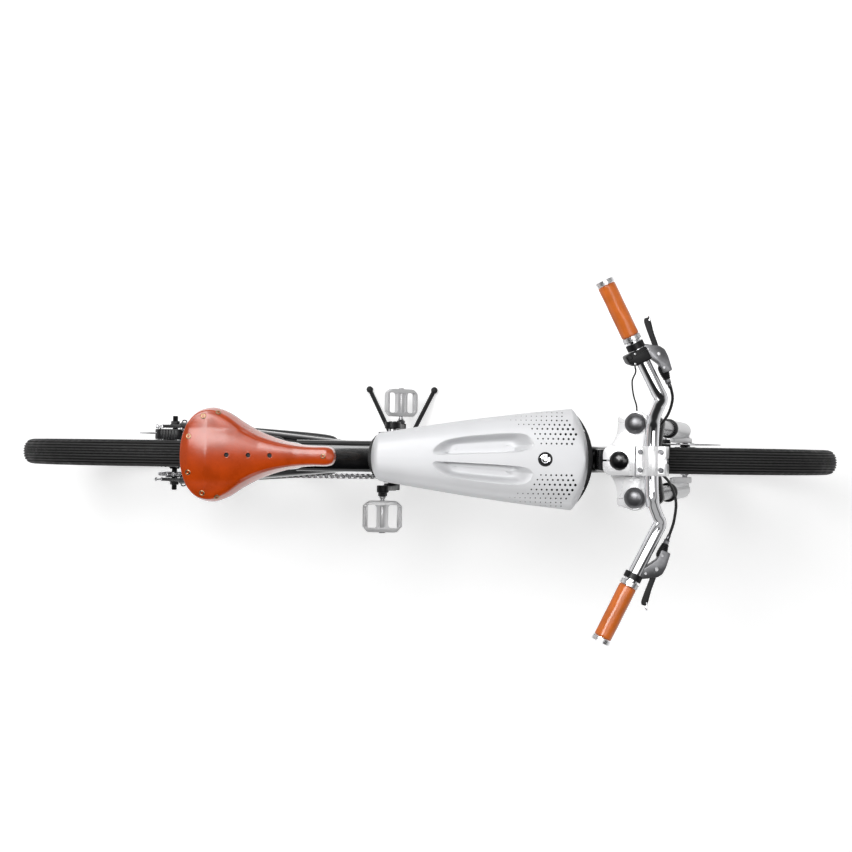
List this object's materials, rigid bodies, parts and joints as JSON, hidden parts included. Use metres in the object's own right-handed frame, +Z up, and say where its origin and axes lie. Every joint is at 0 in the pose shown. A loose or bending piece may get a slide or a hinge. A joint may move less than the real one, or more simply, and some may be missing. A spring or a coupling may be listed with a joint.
{
  "type": "electric bicycle",
  "caption": "Electric bicycle with a double crown fork, a swept handlebar, a tank shaped battery cover with speaker grilles, a leather saddle and a two legged side stand.",
  "frame": {"origin": "on the ground midway between the two wheel axles, in the plane of the wheels", "axes": "+X forward to the front wheel, +Y to the rider's left, +Z up"},
  "size_m": [1.8088, 0.6296, 0.9907],
  "materials": {
    "black_gloss": "gloss",
    "black_satin": "satin",
    "silver_paint": "satin metallic",
    "polished_aluminium": "polished",
    "chrome": "mirror",
    "steel": "brushed",
    "leather": "waxed honey tan",
    "tyre_rubber": "matte",
    "black_rubber": "matte",
    "battery_grey": "matte"
  },
  "bodies": {
    "frame": {"frame": "black_gloss", "motor": "black_satin", "lower_headset_cup": "polished_aluminium", "upper_headset_cup": "polished_aluminium", "seat_collar": "black_satin", "rear_axle": "steel", "rear_brake_caliper": "black_satin", "drive_chain": "steel", "rear_brake_hose": "black_rubber"},
    "steering": {"steerer_tube": "steel", "lower_crown": "black_satin", "upper_crown": "polished_aluminium", "fork_tube_left": "chrome", "fork_tube_right": "chrome", "stem": "polished_aluminium", "handlebar_clamp": "polished_aluminium", "stem_cap": "black_gloss", "handlebar": "chrome", "grip_left": "leather", "grip_right": "leather", "brake_master_left": "black_satin", "brake_master_right": "black_satin", "switch_box": "black_satin", "rear_brake_hose_upper": "black_rubber", "front_brake_hose": "black_rubber", "switch_wire": "black_rubber"},
    "brake_lever_left": {"brake_lever_left": "black_satin"},
    "brake_lever_right": {"brake_lever_right": "black_satin"},
    "switch_button": {"switch_button": "black_rubber"},
    "fork_lower": {"fork_slider_left": "polished_aluminium", "fork_slider_right": "polished_aluminium", "front_axle": "steel", "front_brake_caliper": "black_satin"},
    "front_wheel": {"front_tyre": "tyre_rubber", "front_rim": "polished_aluminium", "front_hub_and_spokes": "polished_aluminium", "front_brake_rotor": "steel"},
    "rear_wheel": {"rear_tyre": "tyre_rubber", "rear_rim": "polished_aluminium", "rear_hub_and_spokes": "polished_aluminium", "rear_brake_rotor": "steel"},
    "freewheel": {"rear_sprocket": "steel"},
    "crank": {"chainring": "black_satin", "crank_arm_left": "black_satin", "crank_arm_right": "black_satin", "pedal_spindle_left": "steel", "pedal_spindle_right": "steel"},
    "pedal_left": {"pedal_left": "polished_aluminium"},
    "pedal_right": {"pedal_right": "polished_aluminium"},
    "tank": {"tank_cover": "silver_paint", "tank_pan": "black_satin", "battery_pack": "battery_grey", "loudspeaker_left": "black_satin", "loudspeaker_right": "black_satin"},
    "key_lock": {"key_lock": "chrome"},
    "seat_post": {"seat_post": "polished_aluminium"},
    "saddle": {"saddle_clamp": "steel", "saddle_rails": "chrome", "saddle_leather": "leather"},
    "kickstand": {"kickstand": "black_satin"}
  },
  "joints": [
    {"name": "steering_turn", "type": "hinge", "parent": "frame", "child": "steering", "pos_m": [0.56089, 0, 0.31641], "axis": [-0.3584, 0, 0.9336], "range_deg": [-40, 40]},
    {"name": "fork_travel", "type": "slide", "parent": "steering", "child": "fork_lower", "axis": [-0.3584, 0, 0.9336], "range_m": [0, 0.05], "stiffness_N_per_m": 8000, "springref_m": -0.03},
    {"name": "front_wheel_spin", "type": "hinge", "parent": "fork_lower", "child": "front_wheel", "pos_m": [0.5805, 0, 0.32393], "axis": [0, 1, 0], "continuous": true},
    {"name": "rear_wheel_spin", "type": "hinge", "parent": "frame", "child": "rear_wheel", "pos_m": [-0.5805, 0, 0.32393], "axis": [0, 1, 0], "continuous": true},
    {"name": "crank_spin", "type": "hinge", "parent": "frame", "child": "crank", "pos_m": [-0.087, 0, 0.27057], "axis": [0, 1, 0], "continuous": true, "deforming": ["drive_chain"]},
    {"name": "freewheel_spin", "type": "hinge", "parent": "frame", "child": "freewheel", "pos_m": [-0.5805, 0, 0.32393], "axis": [0, 1, 0], "continuous": true},
    {"name": "pedal_left_spin", "type": "hinge", "parent": "crank", "child": "pedal_left", "pos_m": [-0.07218, 0.097, 0.10122], "axis": [0, 1, 0], "continuous": true},
    {"name": "pedal_right_spin", "type": "hinge", "parent": "crank", "child": "pedal_right", "pos_m": [-0.10182, -0.097, 0.43992], "axis": [0, 1, 0], "continuous": true},
    {"name": "brake_lever_left_pull", "type": "hinge", "parent": "steering", "child": "brake_lever_left", "pos_m": [0.385, 0.183, 0.96257], "axis": [0, 0, 1], "range_deg": [0, 12], "stiffness_Nm_per_rad": 0.8, "springref_deg": -17.19},
    {"name": "brake_lever_right_pull", "type": "hinge", "parent": "steering", "child": "brake_lever_right", "pos_m": [0.385, -0.183, 0.96257], "axis": [0, 0, -1], "range_deg": [0, 12], "stiffness_Nm_per_rad": 0.8, "springref_deg": -17.19},
    {"name": "switch_button_press", "type": "slide", "parent": "steering", "child": "switch_button", "axis": [-0.0313, 0.0615, -0.9976], "range_m": [0, 0.0015], "stiffness_N_per_m": 300, "springref_m": -0.002},
    {"name": "tank_lift", "type": "slide", "parent": "frame", "child": "tank", "axis": [-0.0593, 0, 0.9982], "range_m": [0, 0.1]},
    {"name": "key_turn", "type": "hinge", "parent": "tank", "child": "key_lock", "pos_m": [0.21086, 0, 0.81329], "axis": [-0.0593, 0, 0.9982], "range_deg": [0, 90]},
    {"name": "seat_height", "type": "slide", "parent": "frame", "child": "seat_post", "axis": [-0.3502, 0, 0.9367], "range_m": [-0.035, 0.05]},
    {"name": "saddle_tilt", "type": "hinge", "parent": "seat_post", "child": "saddle", "pos_m": [-0.29507, 0, 0.82707], "axis": [0, 1, 0], "range_deg": [-8, 8]},
    {"name": "kickstand_fold", "type": "hinge", "parent": "frame", "child": "kickstand", "pos_m": [-0.087, 0, 0.27057], "axis": [0, 1, 0], "range_deg": [0, 60]}
  ],
  "couplings": [
    {"joint": "freewheel_spin", "follows": "crank_spin", "ratio": 2.75}
  ]
}
